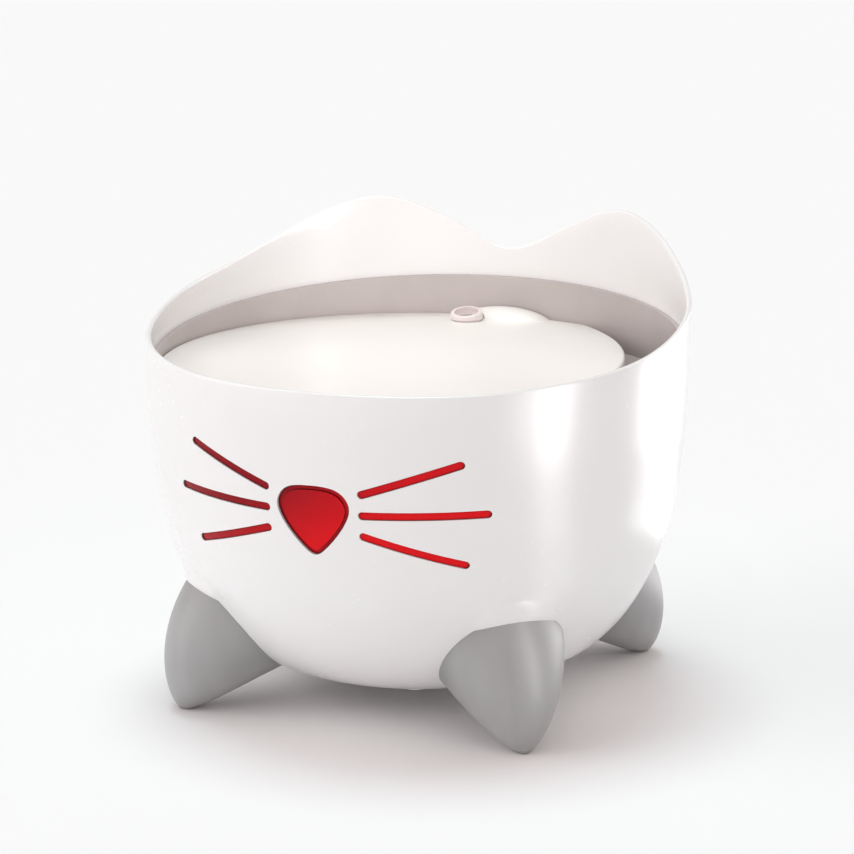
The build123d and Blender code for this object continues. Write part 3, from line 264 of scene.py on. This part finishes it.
# %% Matte and satin plastics
STIPPLE_SIZE = 0.6 * MM


def stippled(name, colour, roughness):
    finish = Finish(name)
    stipple = finish.grain(STIPPLE_SIZE, detail=2, roughness=0.6)
    wear = finish.grain(30 * MM, detail=4)
    finish.surface(
        base_color=finish.blend(wear.between(0.3, 0.7), toned(colour, 0.92), colour),
        roughness=stipple * 0.12 + wear * 0.06 + (roughness - 0.09),  # the noises add about 0.09
        normal=finish.bump(stipple, 0.04 * MM),
    )


for slot_name, colour, roughness in [
    ("tub_grey", (0.565, 0.515, 0.50), 0.42),
    ("white_inner", (0.76, 0.76, 0.75), 0.45),
    ("basket_plastic", (0.8, 0.8, 0.79), 0.4),
    ("reflector_white", (0.85, 0.85, 0.85), 0.6),
    ("black_plastic", (0.02, 0.02, 0.021), 0.45),
    ("pump_black", (0.022, 0.023, 0.026), 0.42),
    ("knob_grey", (0.16, 0.16, 0.17), 0.45),
    ("impeller_blue", (0.03, 0.09, 0.3), 0.4),
    ("component_dark", (0.03, 0.03, 0.035), 0.4),
]:
    stippled(slot_name, colour, roughness)
print("finishes so far", len(finishes))

# %% [markdown]
# The feet have the same stipple in grey. Where a foot meets the bowl, its colour is darkened as
# painted shade: Ambient Occlusion measures how open a point is, so it can paint that shade on every
# foot without any painted map. It would also see the floor, so the painted shade fades out towards
# the tip. Drawn-out noise paints soft streaks of reflection into the colour, and varies the
# roughness with them.


# %% Grey feet
def grey_with_painted_shade(name, own_grey, shade_dark, roughness):
    finish = Finish(name)
    stipple = finish.grain(STIPPLE_SIZE, detail=2, roughness=0.6)
    streak = finish.grain(9 * MM, detail=1, stretch=(1, 1, 0.15))
    # painted shade: darker where the foot meets the bowl, found by Ambient Occlusion
    unshaded = finish.openness(45 * MM, samples=8).between(0.25, 0.95)
    above_floor = finish.axis("Z").between(12 * MM, 50 * MM)
    # painted reflection: soft streaks of lighter and darker grey in the colour
    painted_reflection_streaks = finish.blend(streak.between(0.3, 0.7), toned(own_grey, 0.95), own_grey)
    finish.surface(
        base_color=finish.blend((1 - unshaded) * above_floor, painted_reflection_streaks, shade_dark),
        roughness=stipple * 0.12 + streak * 0.06 + (roughness - 0.1),  # the noises add about 0.1
        normal=finish.bump(stipple, 0.03 * MM),
    )


grey_with_painted_shade("grey_foot", own_grey=(0.41, 0.41, 0.415), shade_dark=(0.05, 0.053, 0.056), roughness=0.46)
print("finishes so far", len(finishes))

# %% [markdown]
# Foot tips, pads, suction cups and lead jackets are rubber, with dust on its high spots. The riser
# is a silicone tube, paler and slick. One helper serves them all: a fine noise for the relief and
# the roughness, and a cloudy one that says where the dust lies.


# %% Rubber and silicone
def rubber(name, colour, roughness, dust=0.06):
    finish = Finish(name)
    fine = finish.grain(0.9 * MM, detail=3)
    cloud = finish.grain(8 * MM, detail=2)
    dusty = [channel + dust for channel in colour]
    finish.surface(
        base_color=finish.blend(cloud.between(0.45, 0.75), colour, dusty),
        roughness=fine * 0.15 + (roughness - 0.08),  # the noise adds about 0.08
        normal=finish.bump(fine, 0.05 * MM),
    )


rubber("grey_tip", (0.34, 0.34, 0.345), 0.7, dust=0.02)
rubber("soft_pad", (0.05, 0.05, 0.052), 0.8)
rubber("lead_black", (0.02, 0.02, 0.02), 0.5, dust=0.02)
rubber("cup_rubber", (0.06, 0.06, 0.065), 0.6)
rubber("silicone_tube", (0.66, 0.66, 0.64), 0.3, dust=0.05)
print("finishes so far", len(finishes))

# %% [markdown]
# The windows are tinted acrylic, which looks darker where light has a long way through it. Real
# transmission would need a lit space behind each window, and is noisy. Here that light and shade
# are painted into the colour: painted shade, deep, at the top and on the left, and painted
# transmitted light, bright, near the tip and on the right, with a little random cloud in the tint.
# In the narrow gap round each window, which Ambient Occlusion finds, painted shade makes it nearly
# black. A thin clear coat adds the hard highlight of acrylic.

# %% Red acrylic
ACRYLIC_LIT = (0.80, 0.003, 0.008)
ACRYLIC_SHADED = (0.27, 0.002, 0.008)
ACRYLIC_GAP_SHADE = (0.04, 0.001, 0.002)


def acrylic(name):
    finish = Finish(name)
    height = finish.axis("Z").between(88 * MM, 121 * MM)
    side = finish.axis("X").between(-60 * MM, 50 * MM)
    cloud = finish.grain(6 * MM, detail=2)
    # painted shade at the top and on the left, painted light near the tip and on the right, plus
    # random cloud
    shade_and_cloud = height * 0.55 + cloud * 0.15 + 0.7 - side * 1.15
    tone = finish.blend(shade_and_cloud, ACRYLIC_LIT, ACRYLIC_SHADED)
    # painted shade in the gap round each window
    inside = finish.openness(2 * MM, samples=12).between(0.35, 0.95)
    finish.surface(
        base_color=finish.blend(inside, ACRYLIC_GAP_SHADE, tone),
        roughness=cloud * 0.05 + 0.16,
        specular_ior_level=0.12,
        coat_weight=0.06,
        coat_roughness=0.05,
        normal=finish.bump(cloud, 0.02 * MM),
    )


acrylic("red_lens")
print("finishes so far", len(finishes))

# %% [markdown]
# Metal, ceramic, circuit boards and lamp bodies are small and mostly hidden, but each is seen when
# the dish is off or the cover is open. Brushed steel is a noise squeezed along one axis. The tracks
# of a board could be drawn as curves, but the borders between Voronoi cells look like them at this
# size. Lamps and ceramic are one helper with two cloudy tones.


# %% Small hardware finishes
def steel(name):
    finish = Finish(name)
    brush = finish.grain(1.2 * MM, detail=3, stretch=(1, 1, 6))
    finish.surface(
        base_color=finish.blend(brush, (0.45, 0.45, 0.46), (0.62, 0.62, 0.63)),
        metallic=1.0,
        roughness=brush * 0.15 + 0.25,
        normal=finish.bump(brush, 0.01 * MM),
    )


def circuit_board(name, colour, trace):
    finish = Finish(name)
    track = 1 - finish.cells(4 * MM, feature="DISTANCE_TO_EDGE").between(0.04, 0.07)
    finish.surface(
        base_color=finish.blend(track, colour, trace),
        roughness=0.35 - track * 0.1,
        normal=finish.bump(track, 0.04 * MM),
    )


def clouded(name, size, first, second, roughness):
    finish = Finish(name)
    cloud = finish.grain(size)
    finish.surface(
        base_color=finish.blend(cloud, first, second),
        roughness=cloud * 0.1 + roughness,
    )


steel("screw_steel")
circuit_board("board_green", (0.012, 0.09, 0.035), trace=(0.03, 0.2, 0.08))
circuit_board("board_white", (0.75, 0.75, 0.72), trace=(0.6, 0.58, 0.5))
clouded("led_body", 1 * MM, (0.85, 0.72, 0.3), (0.9, 0.85, 0.6), 0.2)
clouded("ceramic_white", 2 * MM, (0.78, 0.77, 0.74), (0.86, 0.85, 0.83), 0.12)
print("finishes so far", len(finishes))

# %% [markdown]
# Filter cloth is a felt of fine fibres, the sponge an open foam. Both are mostly holes, which is
# why they look dark and rough. Fibres could be grown as hair, but the pieces are hidden at rest,
# and a twisted noise and a Voronoi pattern give the same surface at hardly any cost. The Voronoi
# pattern darkens the hearts of the foam's cells as painted shade in its pores.


# %% Cloth and foam
def felt(name, colour, dark):
    finish = Finish(name)
    fibre = finish.grain(1.2 * MM, detail=6, roughness=0.7, distortion=1.5)
    patch = finish.grain(12 * MM, detail=2)
    finish.surface(
        base_color=finish.blend(fibre * 0.7 + patch * 0.3, dark, colour),
        roughness=0.95 - fibre * 0.1,
        sheen_weight=0.3,
        normal=finish.bump(fibre, 0.4 * MM),
    )


def foam(name, colour):
    finish = Finish(name)
    wall = finish.cells(1.6 * MM).between(0.1, 0.5)
    finish.surface(
        # painted shade: the hearts of the cells, the foam's pores, are darkened
        base_color=finish.blend(wall, toned(colour, 0.3), colour),
        roughness=0.9 - wall * 0.05,
        normal=finish.bump(wall, 0.6 * MM),
    )


felt("carbon_cloth", (0.1, 0.1, 0.105), dark=(0.02, 0.02, 0.022))
felt("fibre_white", (0.82, 0.82, 0.8), dark=(0.6, 0.6, 0.58))
foam("sponge_dark", (0.07, 0.07, 0.075))
print("all finishes", len(finishes), "slots without one", set(slot_of.values()) - set(finishes))

# %% [markdown]
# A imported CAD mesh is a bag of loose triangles, so it would shade as flat facets. Merging them in
# the mesh would change the part itself. A small geometry node group does it in a modifier instead.
# It joins the triangles' corners and shades smoothly across each edge that bends less than a limit.

# %% Smooth shading for the CAD pieces
JOIN_DISTANCE = 0.002 * MM
SMOOTH_LIMIT = 32  # degrees


def smooth_group(join_distance, limit):
    tree = bpy.data.node_groups.new("joined_and_smooth", "GeometryNodeTree")
    for side in ("INPUT", "OUTPUT"):
        tree.interface.new_socket(name="Geometry", in_out=side, socket_type="NodeSocketGeometry")
    start = tree.nodes.new("NodeGroupInput")
    join = tree.nodes.new("GeometryNodeMergeByDistance")
    faces = tree.nodes.new("GeometryNodeSetShadeSmooth")
    edges = tree.nodes.new("GeometryNodeSetShadeSmooth")
    end = tree.nodes.new("NodeGroupOutput")
    join.inputs["Distance"].default_value = join_distance
    faces.domain, edges.domain = "FACE", "EDGE"
    chain = [start, join, faces, edges, end]
    for before, after in zip(chain, chain[1:]):
        tree.links.new(before.outputs[0], after.inputs[0])
    angle = tree.nodes.new("GeometryNodeInputMeshEdgeAngle")
    gentle = tree.nodes.new("FunctionNodeCompare")
    gentle.data_type = "FLOAT"
    gentle.operation = "LESS_EQUAL"
    gentle.inputs["B"].default_value = math.radians(limit)
    tree.links.new(angle.outputs["Unsigned Angle"], gentle.inputs["A"])
    tree.links.new(gentle.outputs["Result"], edges.inputs["Shade Smooth"])
    return tree


joined_and_smooth = smooth_group(JOIN_DISTANCE, SMOOTH_LIMIT)
for name, obj in nodes.items():
    obj.modifiers.new("smooth", "NODES").node_group = joined_and_smooth
    obj.data.materials.clear()
    obj.data.materials.append(finishes[slot_of[name]])
print("dressed", len(nodes), "nodes")

# %% [markdown]
# Three pieces are soft, and a CAD solid is too crisp for them. They are hidden at rest, so they are
# shaped one by one and not by a cloth simulation. Two of them are flat round cushions. For these a
# ball is squared off towards a disc that fills the CAD node's box, and then each point sinks by a
# dent.

# %% Helpers for soft pieces
BOX_CLEARANCE = 0.3 * MM


def new_piece(name, shape, slot_name, body):
    """Turns a bmesh into a piece that rides on a body and wears a slot's finish."""
    mesh = bpy.data.meshes.new(name)
    bmesh.ops.recalc_face_normals(shape, faces=shape.faces)
    shape.to_mesh(mesh)
    shape.free()
    mesh.shade_smooth()
    mesh.materials.append(finishes[slot_name])
    piece = new_object(name, mesh)
    modifier = piece.modifiers.new("subdivision", "SUBSURF")
    modifier.levels = modifier.render_levels = 1
    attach(piece, body)
    return piece


def cushion(node, rings, segments, square, dent):
    """A ball pressed into a disc that fills a node's box; square is 1 for a ball, 0 for a tin.

    dent(x, y) gives the depth in metres by which the top and the bottom sink.
    """
    low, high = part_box(node)
    centre, half = (low + high) / 2, (high - low) / 2 - Vector((BOX_CLEARANCE,) * 3)
    shape = bmesh.new()
    bmesh.ops.create_uvsphere(shape, u_segments=segments, v_segments=rings, radius=1)
    for v in shape.verts:
        across = math.hypot(v.co.x, v.co.y)
        spread = across ** square / across if across > 1e-6 else 0
        rise = math.copysign(abs(v.co.z) ** square, v.co.z)
        v.co = Vector((v.co.x * spread, v.co.y * spread, rise))
    for v in shape.verts:
        x, y = v.co.x * half.x, v.co.y * half.y
        rim = math.hypot(v.co.x, v.co.y) ** 12  # a high power: dents fade only close to the rim
        sink = min(dent(x, y), half.z * 0.8) * (1 - rim)
        v.co = centre + Vector((x, y, v.co.z * half.z - math.copysign(sink, v.co.z)))
    return shape


def swell(place, per_metre):
    """Smooth noise from -1 to 1, with about so many swells in a metre."""
    return noise.noise(place * per_metre)


print("soft helpers ready")

# %% [markdown]
# The carbon pack is two discs of felt sewn together round granules: a crowned form whose seam pulls
# in at the edge. Two crossing sets of stitch rows hold the granules in place. The pack could be
# sewn and filled in a cloth simulation, but sinking each point near a row gives the same quilt at
# once.

# %% Carbon pack
STITCH_PITCH, STITCH_DEPTH = 19 * MM, 1.6 * MM
ROOT_TWO = 1.414


def quilt_dent(x, y):
    rows = min(
        abs(math.sin(math.pi * along / STITCH_PITCH / ROOT_TWO)) for along in (x + y, x - y)
    )
    lump = 0.5 * MM
    granules = swell(Vector((x, y, 0)), per_metre=160) * lump + lump
    return STITCH_DEPTH * (1 - min(rows * 2.2, 1)) ** 2 + granules


shape = cushion("carbon_pack", rings=40, segments=160, square=0.22, dent=quilt_dent)
pack = new_piece("carbon_pack_quilted", shape, "carbon_cloth", "filter")
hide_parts("carbon_pack")
print("carbon pack faces", len(pack.data.polygons))

# %% [markdown]
# The fibre pad is a plain disc of felt, cut from a sheet, with no stitching. Two noises are enough
# for it: a wide one for the way it sags in the basket, and a fine one for its tufts.


# %% Fibre pad
def felt_dent(x, y):
    sag, tuft = 0.6 * MM, 0.3 * MM
    wide = swell(Vector((x, y, 2)), per_metre=90)
    fine = swell(Vector((x, y, 5)), per_metre=420)
    return sag + sag * wide + tuft * fine


shape = cushion("fibre_pad", rings=32, segments=144, square=0.18, dent=felt_dent)
pad = new_piece("fibre_pad_felt", shape, "fibre_white", "filter")
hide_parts("fibre_pad")
print("fibre pad faces", len(pad.data.polygons))

# %% [markdown]
# The intake sponge is a block of foam pushed into the strainer. A cube is cut into a fine grid,
# each point moves a little along its normal, and the subdivision rounds the corners. The cells of
# the foam are too small and too many to model, so they come from its finish.

# %% Intake sponge
SPONGE_SHARE, SPONGE_CUTS, SPONGE_RELIEF = 0.985, 14, 0.25 * MM

low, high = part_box("intake_sponge")
centre, size = (low + high) / 2, high - low
shape = bmesh.new()
bmesh.ops.create_cube(shape, size=1)
bmesh.ops.scale(shape, vec=size * SPONGE_SHARE, verts=shape.verts)
bmesh.ops.subdivide_edges(shape, edges=shape.edges, cuts=SPONGE_CUTS, use_grid_fill=True)
for v in shape.verts:
    v.co += v.normal * SPONGE_RELIEF * swell(v.co, per_metre=900)
bmesh.ops.translate(shape, vec=centre, verts=shape.verts)
sponge = new_piece("intake_sponge_foam", shape, "sponge_dark", "strainer")
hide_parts("intake_sponge")
print("sponge faces", len(sponge.data.polygons))

# %% [markdown]
# The fountain stands on pale paper under a soft sky. The sky lights everything evenly and is a
# little pink, so a shadow, which hardly any other light reaches, turns warm. A Light Path node
# shows the camera a plain backdrop in the sky's place, so the tone behind the fountain can be set
# without a change to the light on it.

# %% World
BACKDROP = 0.947
SKY = (0.69, 0.62, 0.61)

world = bpy.data.worlds.new("studio")
bpy.context.scene.world = world
world.use_nodes = True
tree = world.node_tree
tree.nodes.clear()


def background(colour):
    made = tree.nodes.new("ShaderNodeBackground")
    made.inputs["Color"].default_value = (*colour, 1)
    return made.outputs["Background"]


path = tree.nodes.new("ShaderNodeLightPath")
mix = tree.nodes.new("ShaderNodeMixShader")
end = tree.nodes.new("ShaderNodeOutputWorld")
tree.links.new(path.outputs["Is Camera Ray"], mix.inputs["Fac"])
tree.links.new(background(SKY), mix.inputs[1])
tree.links.new(background((BACKDROP,) * 3), mix.inputs[2])
tree.links.new(mix.outputs["Shader"], end.inputs["Surface"])
print("sky", SKY, "backdrop", BACKDROP)

# %% [markdown]
# The floor is one large sheet of matt paper. It has no gloss at all, so its tone is the same from
# every side.

# %% Floor
PAPER = 0.93
FLOOR_REACH = 6

floor_mesh = bpy.data.meshes.new("floor")
shape = bmesh.new()
bmesh.ops.create_grid(shape, x_segments=1, y_segments=1, size=FLOOR_REACH)
shape.to_mesh(floor_mesh)
shape.free()
floor = new_object("floor", floor_mesh)
Finish("paper").surface(base_color=(PAPER,) * 3, roughness=1.0, specular_ior_level=0.0)
floor_mesh.materials.append(finishes["paper"])
print("floor", [round(side, 2) for side in floor.dimensions])

# %% [markdown]
# Two soft suns complete the light. A dim one, low on the left, models the sides. The other stands
# nearly overhead and draws the shadow under the bowl. It could be tuned by eye, but here it is
# worked out. In each colour it adds what the open floor still needs to be as bright as the
# backdrop, so the two meet unseen. That makes it a little blue, the opposite of the sky.


# %% Suns
def sun(name, towards, on_floor, angle):
    """Sun lamp that adds the given colour to a white floor."""
    towards = Vector(towards).normalized()
    data = bpy.data.lights.new(name, "SUN")
    data.energy = max(on_floor) * math.pi / towards.z
    data.color = [channel / max(on_floor) for channel in on_floor]
    data.angle = math.radians(angle)
    turn_back(new_object(name, data), towards)
    print(name, round(data.energy, 3), [round(c, 3) for c in data.color])


SIDE_LIGHT = 0.085
missing = [BACKDROP / PAPER - channel - SIDE_LIGHT for channel in SKY]
sun("sun_from_left", towards=(-0.86, -0.5, 0.34), on_floor=(SIDE_LIGHT,) * 3, angle=50)
sun("sun_from_above", towards=(-0.12, 0.15, 1), on_floor=missing, angle=24)

# %% [markdown]
# Two soft spots lift what the suns leave dull: the dish, which lies deep in the bowl, and the ears.
# An area lamp would do it too, but a spot's narrow cone fades towards its edge and keeps nearly all
# of the light off the floor. The spots don't show in a reflection.


# %% Soft spots
def place_lamp(name, data, bearing, elevation, distance, target):
    """Hangs a lamp at a distance from its target and turns it to face it."""
    lamp = new_object(name, data)
    away = outward(bearing, elevation)
    lamp.location = Vector(target) + away * distance
    turn_back(lamp, away)
    lamp.visible_camera = False
    return lamp


def soft_spot(name, bearing, elevation, distance, power, target, cone):
    """Spot lamp that lights one area and fades to its edge; the cone is in degrees."""
    data = bpy.data.lights.new(name, "SPOT")
    data.energy = power
    data.spot_size = math.radians(cone)
    data.spot_blend = 1
    data.shadow_soft_size = 0.04
    place_lamp(name, data, bearing, elevation, distance, target).visible_glossy = False
    print(name, power, "W")


DISH_MIDDLE, EAR_MIDDLE = (-0.01, 0.02, 0.16), (-0.06, 0.1, 0.187)
soft_spot("dish_light", 10, 50, distance=1.3, power=6, target=DISH_MIDDLE, cone=13)
soft_spot("ear_light", 21, 17, distance=1.4, power=24, target=EAR_MIDDLE, cone=9)

# %% [markdown]
# Seen from above, an upright glossy wall mirrors what stands on the floor around it. So the tall
# reflections on the bowl come from strip lamps that reach down to the floor, and strips that lie on
# the floor carry each reflection on towards the foot of the bowl. Bright cards would do it as well,
# but these lamps are seen only in reflections and light nothing else, which keeps the floor even.

# %% Strips
STRIP_HEIGHT, STRIP_DISTANCE = 0.5, 0.45
OFF_THE_FLOOR, ON_THE_FLOOR = 2 * MM, 1 * MM


def panel(name, bearing, distance, middle_height, width, length, power):
    """Rectangular lamp that only reflections see, facing the axis of the bowl."""
    data = bpy.data.lights.new(name, "AREA")
    data.shape = "RECTANGLE"
    data.size, data.size_y = width, length
    data.energy = power
    lamp = place_lamp(name, data, bearing, 0, distance, target=(0, 0, middle_height))
    lamp.visible_diffuse = False
    print(name, power, "W")
    return lamp


def strip(name, bearing, width, power, distance=STRIP_DISTANCE):
    """Upright lamp that stands on the floor."""
    middle_height = STRIP_HEIGHT / 2 + OFF_THE_FLOOR
    panel(name, bearing, distance, middle_height, width, STRIP_HEIGHT, power)


def floor_strip(name, bearing, near, far, width, power):
    """Lamp that lies on the floor along a bearing and faces up."""
    lamp = panel(name, bearing, (near + far) / 2, ON_THE_FLOOR, width, far - near, power)
    lamp.rotation_euler = (math.pi, 0, math.radians(bearing))


strip("strip_right", 71, width=0.10, power=1.1)
strip("strip_right_glow", 69, width=0.24, power=0.8, distance=0.5)
floor_strip("strip_right_foot", 71, near=0.26, far=0.44, width=0.07, power=0.09)
floor_strip("strip_right_toe", 71, near=0.17, far=0.26, width=0.05, power=0.015)
strip("strip_rear", 133, width=0.3, power=2.3)
floor_strip("strip_rear_foot", 136, near=0.24, far=0.44, width=0.24, power=0.3)

# %% [markdown]
# Colours are shown as they are written, with no filmic curve.

# %% Finish
bpy.context.scene.view_settings.view_transform = "Standard"
